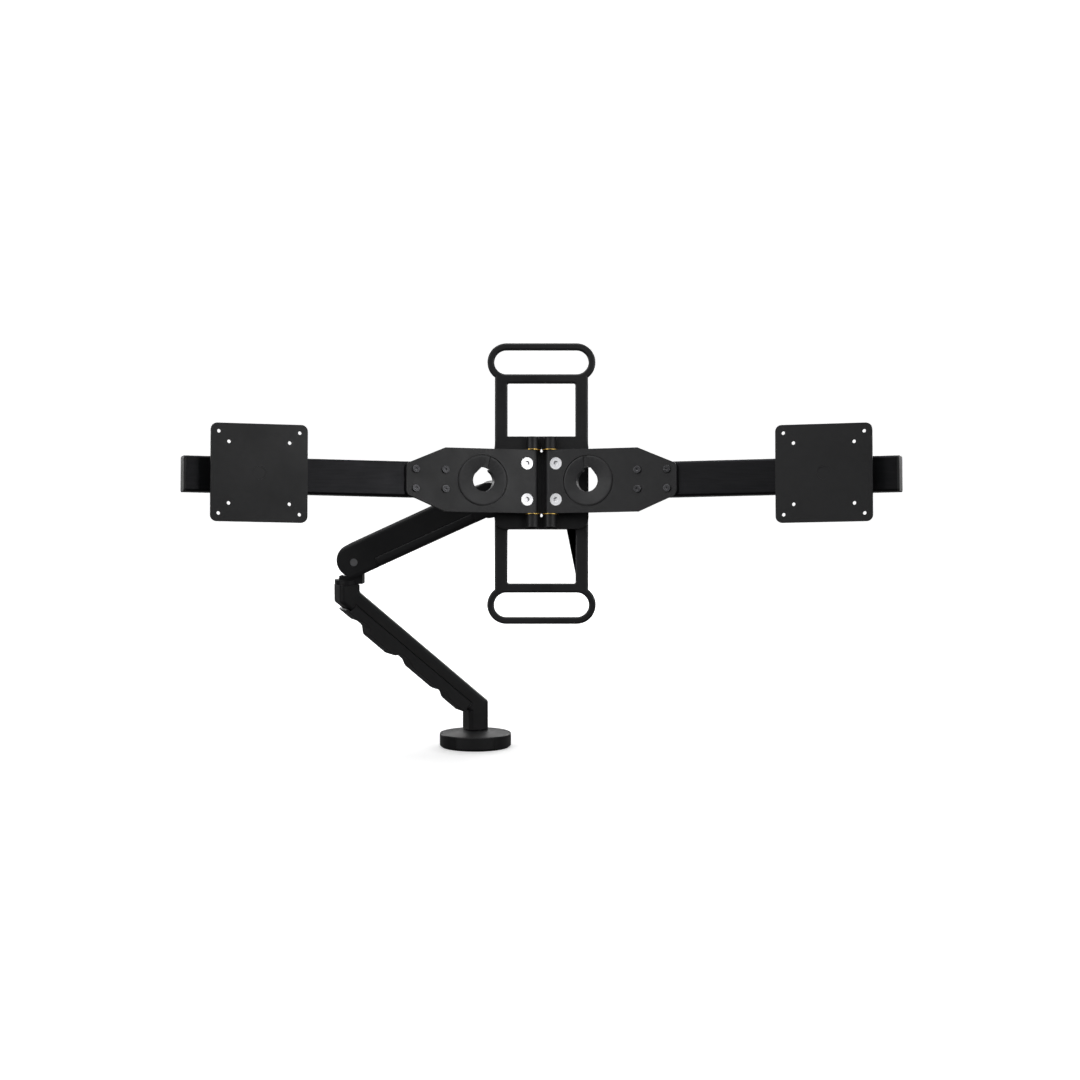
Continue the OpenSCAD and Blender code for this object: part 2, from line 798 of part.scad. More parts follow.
// The bar that users hold: a handle at each end, two legs and a solid middle
module toolbar_frame() {
    color([0.06, 0.06, 0.07]) in_toolbar() difference() {
        upright(frame_y, bracket_y) difference() {
            union() {
                square([legs_w, 2 * handle_z], center = true);
                for (end = [-1, 1]) translate([0, end * handle_z]) handle_shape(handle_w, handle_r);
            }
            for (end = [-1, 1]) {
                translate([0, end * handle_z]) handle_shape(handle_w - 2 * handle_band, slot_r);
                translate([0, end * (window_top + hub_h / 2) / 2])
                    polygon(rounded_rect(window_w, window_top - hub_h / 2, 2, 4));
            }
        }
        tie_holes(0, far / 4);
        for (x = [-1, 1]) for (z = [-1, 1])
            rod_y(2.75, 0, far / 4, x * bracket_screw_gap, z * bracket_screw_gap);
    }
}

// The plate on the front of the bar, with the four fixed hinge barrels
module hub_plate() {
    color([0.07, 0.07, 0.08]) in_toolbar() difference() {
        union() {
            upright(hub_back_y, frame_y) polygon(rounded_rect(legs_w + 0.8, hub_h, 14));
            for (side = [-1, 1]) for (end = [-1, 1]) {
                low = end > 0 ? hub_barrel_z : -hub_barrel_top;
                high = end > 0 ? hub_barrel_top : -hub_barrel_z;
                translate([side * hinge_half_gap, 0, low]) cylinder(r = barrel_r, h = high - low);
                block(
                    [side * hinge_half_gap - barrel_foot, 0, low],
                    [side * hinge_half_gap + barrel_foot, hub_back_y + 1, high]
                );
            }
        }
        for (side = [-1, 1]) translate([side * hinge_half_gap, 0, -far / 4])
            cylinder(r = hinge_pin_r, h = far / 2);
        for (side = [-1, 1]) for (end = [-1, 1])
            translate([side * hinge_half_gap, 0, end * (wing_h / 2 + washer_gap + washer_t / 2)])
                cylinder(r = washer_r + seam, h = washer_t + 1.8 * washer_gap, center = true);
        tie_holes(0, far / 4);
        for (x = [-1, 1]) for (z = [-1, 1])
            rod_y(2.1, hub_back_y + 1, far / 4, x * bracket_screw_gap, z * bracket_screw_gap);
    }
}

module bracket_screws() {
    color("silver") in_toolbar() for (x = [-1, 1]) for (z = [-1, 1]) {
        rod_y(2.1, hub_back_y + 1, bracket_y + bracket_t, x * bracket_screw_gap, z * bracket_screw_gap);
        rod_y(
            4.5, bracket_y + bracket_t, bracket_y + bracket_t + 2.6,
            x * bracket_screw_gap, z * bracket_screw_gap
        );
    }
}

module hinge_pins() {
    color("silver") in_toolbar() for (side = [-1, 1])
        translate([side * hinge_half_gap, 0, 0.6 - hub_barrel_top])
            cylinder(r = hinge_pin_r, h = 2 * hub_barrel_top - 1.2);
}

module hinge_washers() {
    color("goldenrod") in_toolbar() for (side = [-1, 1]) for (end = [-1, 1])
        translate([side * hinge_half_gap, 0, end * (wing_h / 2 + washer_gap + washer_t / 2)]) difference() {
            cylinder(r = washer_r, h = washer_t, center = true);
            cylinder(r = hinge_pin_r, h = 4, center = true);
        }
}

// ---------- wings ----------

function grommet_x(side) = side == "left" ? grommet_x_left : grommet_x_right;

module hinge_barrel(front) {
    difference() {
        translate([0, 0, -wing_h / 2]) cylinder(r = wing_barrel_r, h = wing_h);
        block(
            [-far / 4, front ? -clamp_gap / 2 : -far / 4, -far / 4],
            [far / 4, front ? far / 4 : clamp_gap / 2, far / 4]
        );
    }
}

// Front plate of a wing with half of the hinge barrel along its inner edge
module wing_plate(side) {
    gx = grommet_x(side);
    taper_x = wing_length - 50;
    color([0.09, 0.09, 0.1]) in_wing(side) difference() {
        union() {
            hinge_barrel(true);
            upright(-wing_barrel_r, wing_back_y) polygon(concat(
                [[0, -wing_h / 2]],
                [[taper_x, -wing_h / 2]],
                arc_points([wing_length - 8, 8 - beam_h / 2], 8, -50, 0, 4),
                arc_points([wing_length - 8, beam_h / 2 - 8], 8, 0, 50, 4),
                [[taper_x, wing_h / 2], [0, wing_h / 2]]
            ));
            block([0, wing_back_y - 0.5, -wing_h / 2], [wing_barrel_r + 1, -clamp_gap / 2, wing_h / 2]);
        }
        translate([0, 0, -far / 4]) cylinder(r = hinge_pin_r + run_fit, h = far / 2);
        rod_y(grommet_neck_r + seam, -far / 4, far / 4, gx);
        rod_y(grommet_r + 0.8, -far / 4, flange_t - wing_barrel_r, gx);
        for (end = [-1, 1]) m8_countersink(end * hinge_screw_gap / 2, 0.15);
        for (x = beam_screw_xs) for (end = [-1, 1])
            rod_y(2.6, -far / 4, far / 4, x, end * beam_screw_z);
    }
}

// A countersunk M8 screw's shape, from the front face inwards
module m8_countersink(z, grow) {
    head_r = 7.7;
    head_h = 3.6;
    translate([hinge_screw_x, -wing_barrel_r, z]) rotate([-90, 0, 0]) {
        translate([0, 0, -0.01]) cylinder(r1 = head_r + grow, r2 = m8_r + grow, h = head_h);
        translate([0, 0, head_h - 0.1]) cylinder(r = m8_r + grow, h = 9);
    }
}

// Rear half of the hinge barrel: tightening it grips the pin
module hinge_clamp(side) {
    half_h = wing_h / 2 - 0.2;
    color([0.07, 0.07, 0.08]) in_wing(side) difference() {
        union() {
            hinge_barrel(false);
            block([0, clamp_gap / 2, -half_h], [clamp_length - 12, wing_barrel_r, half_h]);
        }
        translate([0, 0, -far / 4]) cylinder(r = hinge_pin_r + run_fit, h = far / 2);
        for (end = [-1, 1]) rod_y(m8_r + 0.15, -far / 4, far / 4, hinge_screw_x, end * hinge_screw_gap / 2);
    }
}

module hinge_screws(side) {
    color("gainsboro") in_wing(side) for (end = [-1, 1]) difference() {
        m8_countersink(end * hinge_screw_gap / 2, 0);
        translate([hinge_screw_x, -wing_barrel_r - 0.1, end * hinge_screw_gap / 2])
            rotate([-90, 0, 0]) cylinder(r = 2.9, h = 2.8, $fn = 6);
    }
}

// A split ring that turns in the plate, so that a cable can be let in from the top
module grommet(side) {
    gx = grommet_x(side);
    back = grommet_depth - wing_barrel_r;
    inner = grommet_hole_r - 3;
    turned = side == "left" ? -15 : -8;
    color([0.12, 0.12, 0.13]) in_wing(side) translate([gx, 0, 0]) difference() {
        rotate([-90, 0, 0]) rotate_extrude($fn = 72) polygon([
            [inner, -wing_barrel_r + 2.6], [grommet_hole_r + 3, -wing_barrel_r + 1.4],
            [grommet_r - 2.5, -wing_barrel_r - 0.2], [grommet_r, 0.5 - wing_barrel_r],
            [grommet_r, flange_t - 0.05 - wing_barrel_r],
            [grommet_neck_r, flange_t - 0.05 - wing_barrel_r], [grommet_neck_r, back], [inner, back]
        ]);
        rod_y(grommet_hole_r, -far / 4, far / 4, -2);
        rotate([0, turned, 0]) upright(-far / 4, far / 4)
            polygon([[-2.8, 40], [2.8, 40], [2.8, 20], [9, 9], [-9, 9], [-2.8, 20]]);
    }
}

// ---------- beams and display mounts ----------

module beam(side) {
    end = beam_x + beam_length;
    color([0.08, 0.08, 0.09]) in_wing(side) translate([0, beam_y + beam_depth / 2, 0]) difference() {
        translate([beam_x, 0, 0]) rotate([90, 0, 90]) linear_extrude(end - beam_x) difference() {
            polygon(rounded_rect(beam_depth, beam_h, 3, 4));
            square([beam_depth - 2 * beam_wall, beam_h - 2 * beam_wall], center = true);
        }
        for (x = beam_screw_xs) for (end = [-1, 1]) rod_y(2.5, -beam_depth, 0, x, end * beam_screw_z);
    }
}

module beam_screws(side) {
    color("dimgray") in_wing(side) for (x = beam_screw_xs) for (end = [-1, 1]) difference() {
        union() {
            rod_y(2.5, -wing_barrel_r, beam_y + beam_wall + 3, x, end * beam_screw_z);
            rod_y(4.6, -wing_barrel_r - 2.6, -wing_barrel_r, x, end * beam_screw_z);
        }
        translate([x, -wing_barrel_r - 2.7, end * beam_screw_z]) rotate([-90, 0, 0])
            cylinder(r = 1.7, h = 1.7, $fn = 6);
    }
}

module beam_cap(side) {
    end = beam_x + beam_length;
    plug = beam_wall + 0.1;
    color([0.1, 0.1, 0.1]) in_wing(side) translate([end, beam_y + beam_depth / 2, 0])
        rotate([90, 0, 90]) union() {
            linear_extrude(3) polygon(rounded_rect(beam_depth, beam_h, 3, 4));
            translate([0, 0, -8]) linear_extrude(8.5)
                square([beam_depth - 2 * plug, beam_h - 2 * plug], center = true);
        }
}

// A sleeve that slides along the beam, with two ears for the display tilt pin
module carriage(side) {
    grow = slide_gap + carriage_wall;
    mid_y = beam_y + beam_depth / 2;
    front = beam_y - grow;
    color([0.07, 0.07, 0.08]) at_carriage(side) difference() {
        union() {
            translate([-carriage_w / 2, mid_y, 0]) rotate([90, 0, 90]) linear_extrude(carriage_w)
                difference() {
                    polygon(rounded_rect(beam_depth + 2 * grow, beam_h + 2 * grow, 6, 4));
                    polygon(rounded_rect(
                        beam_depth + 2 * slide_gap, beam_h + 2 * slide_gap, 3 + slide_gap, 4
                    ));
                }
            for (s = [-1, 1]) {
                x0 = s > 0 ? 12.3 : -12.3 - carriage_ear_w;
                rod_x(8, x0, x0 + carriage_ear_w, vesa_axis_y);
                block([x0, vesa_axis_y, -7.5], [x0 + carriage_ear_w, front + 1, 7.5]);
            }
        }
        rod_x(vesa_pin_r, -far / 4, far / 4, vesa_axis_y);
        translate([0, mid_y, -far / 4]) cylinder(r = 3.1, h = far / 4);
    }
}

module carriage_knob(side) {
    mid_y = beam_y + beam_depth / 2;
    low = -beam_h / 2 - slide_gap - carriage_wall;
    color([0.1, 0.1, 0.1]) at_carriage(side) translate([0, mid_y, low]) union() {
        translate([0, 0, -4]) cylinder(r = 3, h = 4 + carriage_wall);
        translate([0, 0, -17]) cylinder(r = 9, h = 14.5);
        for (a = [0:60:300]) rotate([0, 0, a]) translate([8.5, 0, -16.5]) cylinder(r = 3.5, h = 11);
    }
}

module vesa_tilt_pin(side) {
    reach = 12.3 + carriage_ear_w;
    color("silver") at_carriage(side) translate([0, vesa_axis_y, 0]) union() {
        rod_x(vesa_pin_r, -reach - 1, reach + 1);
        rod_x(5, reach, reach + 3);
        rod_x(5, -reach - 3, -reach);
    }
}

module vesa_block(side) {
    back = vesa_front_y + vesa_t + 0.2;
    color([0.09, 0.09, 0.1]) at_carriage(side) difference() {
        union() {
            rod_x(7, -12, 12, vesa_axis_y);
            block([-11.9, back + 1, -6.5], [11.9, vesa_axis_y, 6.5]);
            rod_y(vesa_block_r, back, back + 3.3);
            rod_y(vesa_boss_r, vesa_front_y + 0.4, back + 1);
        }
        rod_x(vesa_pin_r + run_fit, -far / 4, far / 4, vesa_axis_y);
    }
}

module vesa_plate(side) {
    color([0.08, 0.08, 0.09]) at_carriage(side) difference() {
        upright(vesa_front_y, vesa_front_y + vesa_t) polygon(rounded_rect(vesa_w, vesa_w, 8));
        rod_y(vesa_boss_r + run_fit, -far / 4, far / 4);
        for (s = [vesa_small, vesa_large]) for (x = [-1, 1]) for (z = [-1, 1])
            rod_y(vesa_hole_r, -far / 4, far / 4, x * s / 2, z * s / 2);
    }
}

// ---------- each piece is drawn by its name ----------

desk_pad();
base_casting();
base_cover();
badge_panel();
swivel_spigot();
desk_stud();
clamp_plate();
clamp_knob();
lower_link();
swivel_bush();
cable_cover();
elbow_bush();
elbow_shaft();
elbow_knuckle();
elbow_pin();
elbow_link_pin();
arm_shell();
arm_cover();
arm_spring();
spring_rod();
parallel_link();
head_knuckle();
head_pin();
head_link_pin();
pan_shaft();
tilt_yoke();
pan_bush();
pan_cap();
tilt_pin();
tilt_bracket();
toolbar_frame();
hub_plate();
bracket_screws();
hinge_pins();
hinge_washers();
for (side = SIDES) {
    wing_plate(side);
    hinge_clamp(side);
    hinge_screws(side);
    grommet(side);
    beam(side);
    beam_screws(side);
    beam_cap(side);
    carriage(side);
    carriage_knob(side);
    vesa_tilt_pin(side);
    vesa_block(side);
    vesa_plate(side);
}
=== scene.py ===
# %% [markdown]
# # A monitor arm for two displays
#
# A desk base carries a lower link, a spring arm and a tool bar with two wings. Each wing holds a beam,
# and a carriage on the beam holds one display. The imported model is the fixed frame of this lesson:
# it gives every piece its place, and Blender gives it edges, surfaces and light.

# %% Load the frame
import json
import math

import bmesh
import bpy
from mathutils import Matrix, Vector


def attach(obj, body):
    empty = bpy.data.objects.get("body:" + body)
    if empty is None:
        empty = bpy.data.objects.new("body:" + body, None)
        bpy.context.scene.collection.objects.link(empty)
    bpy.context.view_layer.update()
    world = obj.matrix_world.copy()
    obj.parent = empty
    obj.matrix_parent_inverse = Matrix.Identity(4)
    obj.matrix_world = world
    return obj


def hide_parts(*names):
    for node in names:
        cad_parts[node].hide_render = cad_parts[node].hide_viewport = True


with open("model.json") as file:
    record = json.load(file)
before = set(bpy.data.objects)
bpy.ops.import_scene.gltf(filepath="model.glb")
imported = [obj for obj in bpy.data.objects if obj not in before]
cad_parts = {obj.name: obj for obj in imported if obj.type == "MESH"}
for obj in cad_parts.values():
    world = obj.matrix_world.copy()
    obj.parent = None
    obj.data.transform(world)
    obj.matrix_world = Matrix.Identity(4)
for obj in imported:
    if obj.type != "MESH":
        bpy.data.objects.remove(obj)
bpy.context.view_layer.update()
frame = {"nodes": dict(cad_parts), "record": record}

record = frame["record"]
BODY_OF = {node: body for body, nodes in record["behaviour"]["bodies"].items() for node in nodes}
SLOT_OF = {part["node"]: part["material_slot"] for part in record["subparts"]}
MM = 0.001

# %% [markdown]
# ## Camera
#
# A long lens from four metres away keeps the two displays' beams almost parallel, as a catalogue view
# does. A short lens from close by would spread them, and the handles would look too large.

# %% Camera
lens_data = bpy.data.cameras.new("catalogue_lens")
lens_data.lens = 100.6
lens_data.sensor_width = 36
camera = bpy.data.objects.new("camera", lens_data)
bpy.context.scene.collection.objects.link(camera)
camera.location = (0.0861, -3.98, 0.6552)
camera.rotation_euler = (math.radians(90 - 5.44), 0, 0)
bpy.context.scene.camera = camera
print("camera at", tuple(round(x, 3) for x in camera.location))

# %% [markdown]
# ## Room and light
#
# A black object is read from its highlights, so the room is dark all round except for a few large soft
# lights. The floor is pale and the camera sees white behind, while the metal sees a dim grey room.
# A plain white world would be simpler, but it would turn every black surface grey.

# %% World
world = bpy.data.worlds.new("studio")
bpy.context.scene.world = world
world.use_nodes = True
tree = world.node_tree
tree.nodes.clear()
seen = tree.nodes.new("ShaderNodeBackground")
seen.inputs["Color"].default_value = (1, 1, 1, 1)
seen.inputs["Strength"].default_value = 1.3
dim = tree.nodes.new("ShaderNodeBackground")
dim.inputs["Color"].default_value = (0.92, 0.96, 1, 1)
dim.inputs["Strength"].default_value = 0.04
path = tree.nodes.new("ShaderNodeLightPath")
either = tree.nodes.new("ShaderNodeMixShader")
world_out = tree.nodes.new("ShaderNodeOutputWorld")
tree.links.new(path.outputs["Is Camera Ray"], either.inputs["Fac"])
tree.links.new(dim.outputs[0], either.inputs[1])
tree.links.new(seen.outputs[0], either.inputs[2])
tree.links.new(either.outputs[0], world_out.inputs["Surface"])
bpy.context.scene.view_settings.view_transform = "Standard"
print("world ready")

# %% Lights


def sun(name, strength, spread, tip, turn):
    """A very soft light with the same strength everywhere on the floor."""
    data = bpy.data.lights.new(name, "SUN")
    data.energy = strength
    data.angle = math.radians(spread)
    lamp = bpy.data.objects.new(name, data)
    lamp.rotation_euler = (math.radians(tip), 0, math.radians(turn))
    bpy.context.scene.collection.objects.link(lamp)


def soft_box(name, place, target, width, height, power):
    """A rectangular light that gives long highlights along rounded edges."""
    data = bpy.data.lights.new(name, "AREA")
    data.shape = "RECTANGLE"
    data.size, data.size_y, data.energy = width, height, power
    lamp = bpy.data.objects.new(name, data)
    lamp.location = place
    aim = Vector(target) - Vector(place)
    lamp.rotation_euler = aim.to_track_quat("-Z", "Y").to_euler()
    bpy.context.scene.collection.objects.link(lamp)


sun("ceiling_light", 1.45, 70, 14, -30)
sun("front_light", 0.2, 50, 48, -24)
soft_box("right_front_box", (1.57, -2.47, 1.3), (0.1, -0.1, 0.36), 0.8, 0.9, 9)
soft_box("left_front_box", (-1.39, -2.47, 1.3), (0.1, -0.1, 0.36), 0.7, 0.9, 3)
soft_box("left_strip", (-1.7, -1.5, 1.15), (0.05, -0.1, 0.35), 0.6, 2.0, 9)
soft_box("right_strip", (1.9, -1.2, 1.0), (0.1, -0.1, 0.35), 0.5, 2.0, 6)
soft_box("back_strip", (0.4, 2.2, 1.6), (0.0, 0.0, 0.3), 2.2, 0.7, 26)
soft_box("back_left_box", (-1.7, 1.9, 1.0), (0.0, 0.0, 0.35), 0.8, 1.4, 16)
soft_box("back_right_box", (1.8, 1.7, 1.0), (0.0, 0.0, 0.35), 0.8, 1.4, 16)

# %% [markdown]
# ## Helpers for modelling by hand
#
# Operators act on whatever is selected, so each piece starts with nothing selected and one active
# object. Faces are then picked in code by where they are or which way they look.

# %% Selection helpers


def select_only(piece):
    bpy.ops.object.select_all(action="DESELECT")
    piece.select_set(True)
    bpy.context.view_layer.objects.active = piece


def edit(piece):
    select_only(piece)
    bpy.ops.object.mode_set(mode="EDIT")
    bpy.ops.mesh.select_mode(type="FACE")


def leave_edit():
    bpy.ops.object.mode_set(mode="OBJECT")


def pick(piece, test, kind="faces"):
    """Selects the faces, edges or vertices that pass the test, and only those."""
    bpy.ops.mesh.select_mode(type={"faces": "FACE", "edges": "EDGE", "verts": "VERT"}[kind])
    bpy.ops.mesh.select_all(action="DESELECT")
    shape = bmesh.from_edit_mesh(piece.data)
    count = 0
    for part in getattr(shape, kind):
        if test(part):
            part.select_set(True)
            count += 1
    bmesh.update_edit_mesh(piece.data)
    return count


def settle(piece, matrix=None):
    """Leaves the object at the origin with its place in its mesh."""
    select_only(piece)
    if matrix is not None:
        piece.matrix_world = matrix @ piece.matrix_world
    bpy.ops.object.transform_apply(location=True, rotation=True, scale=True)


def apply_bevel(piece, width, steps, angle=30, worn=False):
    """Rounds every edge sharper than the angle. The rounded strip may take the rubbed finish."""
    bevel = piece.modifiers.new("rounded_edges", "BEVEL")
    bevel.width = width
    bevel.segments = steps
    bevel.limit_method = "ANGLE"
    bevel.angle_limit = math.radians(angle)
    bevel.use_clamp_overlap = True
    if worn:
        bevel.material = 1
    select_only(piece)
    bpy.ops.object.modifier_apply(modifier=bevel.name)


def smooth(piece, angle=38):
    """Smooth shading up to the angle, with large faces kept flat up to their rounded edges."""
    select_only(piece)
    bpy.ops.object.shade_smooth_by_angle(angle=math.radians(angle))
    flat = piece.modifiers.new("flat_faces_stay_flat", "WEIGHTED_NORMAL")
    flat.keep_sharp = True
    flat.weight = 90
    bpy.ops.object.modifier_apply(modifier=flat.name)


print("helpers ready")

# %% [markdown]
# ## Finishes
#
# Every finish is a Principled shader with three noises on object coordinates: a fine one for the bump
# of the coating, a broad one that changes the roughness from place to place as handling does, and a
# middle one that varies the colour a little. An image texture would need a file and an unwrap.

# %% One function makes a finish


def finish(name, colour, roughness, metallic=0.0, grain=1500, depth=0.1, patch=0.07, mottle=0.12,
           stretch=(1, 1, 1), **extra):
    """A procedural finish. grain is in features per metre, depth is the strength of the bump."""
    made = bpy.data.materials.new(name)
    made.use_nodes = True
    nodes, links = made.node_tree.nodes, made.node_tree.links
    shader = nodes["Principled BSDF"]
    shader.inputs["Metallic"].default_value = metallic
    for socket, value in extra.items():
        shader.inputs[socket.replace("_", " ")].default_value = value
    where = nodes.new("ShaderNodeTexCoord")
    spread = nodes.new("ShaderNodeMapping")
    spread.inputs["Scale"].default_value = stretch
    links.new(where.outputs["Object"], spread.inputs["Vector"])

    fine = nodes.new("ShaderNodeTexNoise")
    fine.inputs["Scale"].default_value = grain
    fine.inputs["Detail"].default_value = 3
    links.new(spread.outputs[0], fine.inputs["Vector"])
    bump = nodes.new("ShaderNodeBump")
    bump.inputs["Strength"].default_value = depth
    bump.inputs["Distance"].default_value = 0.0004
    links.new(fine.outputs["Fac"], bump.inputs["Height"])
    links.new(bump.outputs[0], shader.inputs["Normal"])

    broad = nodes.new("ShaderNodeTexNoise")
    broad.inputs["Scale"].default_value = 16
    broad.inputs["Detail"].default_value = 4
    broad.inputs["Roughness"].default_value = 0.6
    links.new(where.outputs["Object"], broad.inputs["Vector"])
    handled = nodes.new("ShaderNodeMapRange")
    handled.inputs["From Min"].default_value = 0.3
    handled.inputs["From Max"].default_value = 0.7
    handled.inputs["To Min"].default_value = max(0.05, roughness - patch)
    handled.inputs["To Max"].default_value = min(1, roughness + patch)
    links.new(broad.outputs["Fac"], handled.inputs["Value"])
    links.new(handled.outputs[0], shader.inputs["Roughness"])

    middle = nodes.new("ShaderNodeTexNoise")
    middle.inputs["Scale"].default_value = 110
    middle.inputs["Detail"].default_value = 5
    links.new(spread.outputs[0], middle.inputs["Vector"])
    tone = nodes.new("ShaderNodeValToRGB")
    for stop, share, place in ((0, 1 - mottle, 0.3), (1, 1 + mottle, 0.7)):
        tone.color_ramp.elements[stop].position = place
        tone.color_ramp.elements[stop].color = (*[min(1, c * share) for c in colour], 1)
    links.new(middle.outputs["Fac"], tone.inputs["Fac"])
    links.new(tone.outputs["Color"], shader.inputs["Base Color"])
    return made


print("finish() ready")

# %% [markdown]
# ## The finishes of this arm
#
# Castings and plates are powder coated: a polyester film that is a little uneven, like orange peel.
# Mouldings are finer and duller. Where hands and cloths rub, a coated edge turns smoother and paler,
# so each coating has a second, rubbed finish for its rounded edges.

# %% Finishes by slot
FINISHES = {
    "black_metal": (
        finish("black_powder_coat", (0.0085, 0.0085, 0.0095), 0.42, grain=1300, depth=0.16),
        finish("black_powder_coat_rubbed", (0.016, 0.016, 0.0175), 0.3, grain=1300, depth=0.06),
    ),
    "charcoal_metal": (
        finish("charcoal_powder_coat", (0.0125, 0.0125, 0.0138), 0.4, grain=1500, depth=0.14),
        finish("charcoal_powder_coat_rubbed", (0.026, 0.026, 0.028), 0.29, grain=1500, depth=0.05),
    ),
    "black_plastic": (
        finish("black_moulding", (0.0105, 0.0105, 0.0115), 0.5, grain=2600, depth=0.08),
        finish("black_moulding_rubbed", (0.018, 0.018, 0.019), 0.36, grain=2600, depth=0.03),
    ),
    "grommet_plastic": (
        finish("grey_satin_moulding", (0.024, 0.024, 0.0255), 0.44, grain=2600, depth=0.07),
        finish("grey_satin_moulding_rubbed", (0.042, 0.042, 0.044), 0.34, grain=2600, depth=0.03),
    ),
    "anodised": (
        finish("black_anodised", (0.02, 0.02, 0.022), 0.36, 0.85, grain=500, stretch=(0.05, 1, 4)),
        finish("black_anodised_rubbed", (0.05, 0.05, 0.054), 0.28, 0.9, grain=500),
    ),
    "rubber": (
        finish("desk_rubber", (0.011, 0.011, 0.011), 0.78, grain=900, depth=0.2),
        finish("desk_rubber_rubbed", (0.016, 0.016, 0.016), 0.7, grain=900, depth=0.1),
    ),
    "steel": (
        finish("ground_steel", (0.5, 0.5, 0.52), 0.3, 1.0, grain=900, stretch=(1, 1, 9)),
        finish("ground_steel_rubbed", (0.6, 0.6, 0.62), 0.2, 1.0, grain=900),
    ),
    "bright_steel": (
        finish("bright_plate", (0.88, 0.88, 0.9), 0.36, 1.0, grain=700, depth=0.03, mottle=0.05),
        finish("bright_plate_rubbed", (0.93, 0.93, 0.95), 0.24, 1.0, grain=700, depth=0.02, mottle=0.04),
    ),
    "zinc": (
        finish("black_zinc", (0.07, 0.07, 0.075), 0.34, 0.9, grain=1200, mottle=0.3),
        finish("black_zinc_rubbed", (0.2, 0.2, 0.205), 0.26, 1.0, grain=1200, mottle=0.3),
    ),
    "brass": (
        finish("turned_brass", (0.72, 0.47, 0.12), 0.28, 1.0, grain=1600, depth=0.06, mottle=0.1),
        finish("turned_brass_rubbed", (0.85, 0.6, 0.2), 0.2, 1.0, grain=1600, depth=0.03),
    ),
    "bearing_plastic": (
        finish("acetal", (0.62, 0.59, 0.5), 0.4, grain=1800, depth=0.04, mottle=0.05),
        finish("acetal_rubbed", (0.7, 0.67, 0.58), 0.32, grain=1800, depth=0.02, mottle=0.04),
    ),
}


def dress(piece, slot):
    """Gives a piece the finish of a slot, with the rubbed one second."""
    piece.data.materials.clear()
    for made in FINISHES[slot]:
        piece.data.materials.append(made)
    for face in piece.data.polygons:
        face.material_index = 0


for node, cad in frame["nodes"].items():
    cad.data.materials.clear()
    cad.data.materials.append(FINISHES[SLOT_OF[node]][0])
print("finishes", len(FINISHES) * 2)

# %% [markdown]
# ## Floor
#
# The floor belongs to the room and not to the object. It is a wide plane, subdivided and lifted at the
# back so that no corner shows. Only the camera sees it as pale: the underside of the arm would
# otherwise look lit from below. The floor glows a little, which is painted light that keeps the far
# floor white. The glow is weaker near the base, which paints shade on the floor around the base, on top
# of the base's own soft contact shadow from the lamps.

# %% Floor
bpy.ops.object.select_all(action="DESELECT")
bpy.ops.mesh.primitive_plane_add(size=60, location=(0, 0, 0))
floor = bpy.context.object
floor.name = "floor"
edit(floor)
bpy.ops.mesh.subdivide(number_cuts=15)
pick(floor, lambda v: v.co.y > 29, "verts")
bpy.ops.transform.translate(value=(0, 0, 3))
leave_edit()
smooth(floor, 80)
floor_paint = finish("pale_floor", (0.86, 0.86, 0.86), 0.75, grain=300, depth=0.02, mottle=0.01)
nodes, links = floor_paint.node_tree.nodes, floor_paint.node_tree.links
floor_dark = nodes.new("ShaderNodeBsdfDiffuse")
floor_dark.inputs["Color"].default_value = (0.1, 0.1, 0.1, 1)
# Painted light: the floor glows for the camera, and its weaker glow near the base is painted shade
# around the base.
floor_painted_glow = nodes.new("ShaderNodeEmission")
floor_where = nodes.new("ShaderNodeTexCoord")
floor_reach = nodes.new("ShaderNodeVectorMath")
floor_reach.operation = "LENGTH"
# Glow strength by distance from the base: dimmer near it, which is painted shade on the floor.
floor_glow_painted_shade_near_base = nodes.new("ShaderNodeMapRange")
for socket, value in (("From Min", 0.1), ("From Max", 0.9), ("To Min", 0.34), ("To Max", 0.62)):
    floor_glow_painted_shade_near_base.inputs[socket].default_value = value
links.new(floor_where.outputs["Object"], floor_reach.inputs[0])
links.new(floor_reach.outputs["Value"], floor_glow_painted_shade_near_base.inputs["Value"])
links.new(floor_glow_painted_shade_near_base.outputs[0], floor_painted_glow.inputs["Strength"])
floor_path = nodes.new("ShaderNodeLightPath")
floor_sum = nodes.new("ShaderNodeAddShader")
floor_mix = nodes.new("ShaderNodeMixShader")
links.new(nodes["Principled BSDF"].outputs[0], floor_sum.inputs[0])
links.new(floor_painted_glow.outputs[0], floor_sum.inputs[1])
links.new(floor_path.outputs["Is Camera Ray"], floor_mix.inputs["Fac"])
links.new(floor_dark.outputs[0], floor_mix.inputs[1])
links.new(floor_sum.outputs[0], floor_mix.inputs[2])
links.new(floor_mix.outputs[0], nodes["Material Output"].inputs["Surface"])
floor.data.materials.append(floor_paint)
print("floor", tuple(round(x, 1) for x in floor.dimensions))

# %% [markdown]
# ## Castings, plates and mouldings with real edges
#
# No real edge is perfectly sharp: a sheet is deburred, a casting has a draft and a radius, a moulding
# takes the radius of its tool. Those small roundings catch the light and are what the eye reads.
# The shapes are right already, so each is copied from the frame, its loose triangles are merged into
# whole faces, and a bevel rounds what is sharp. Modelling them all again would only risk their fits.

# %% Copy a node and round its edges


def merged_copy(node):
    """A copy of a CAD node whose loose triangles are merged into whole faces."""
    piece = bpy.data.objects.new(node + "_finished", frame["nodes"][node].data.copy())
    bpy.context.scene.collection.objects.link(piece)
    edit(piece)
    bpy.ops.mesh.select_all(action="SELECT")
    bpy.ops.mesh.remove_doubles(threshold=0.00002)
    bpy.ops.mesh.dissolve_limited(angle_limit=math.radians(1))
    leave_edit()
    dress(piece, SLOT_OF[node])
    return piece


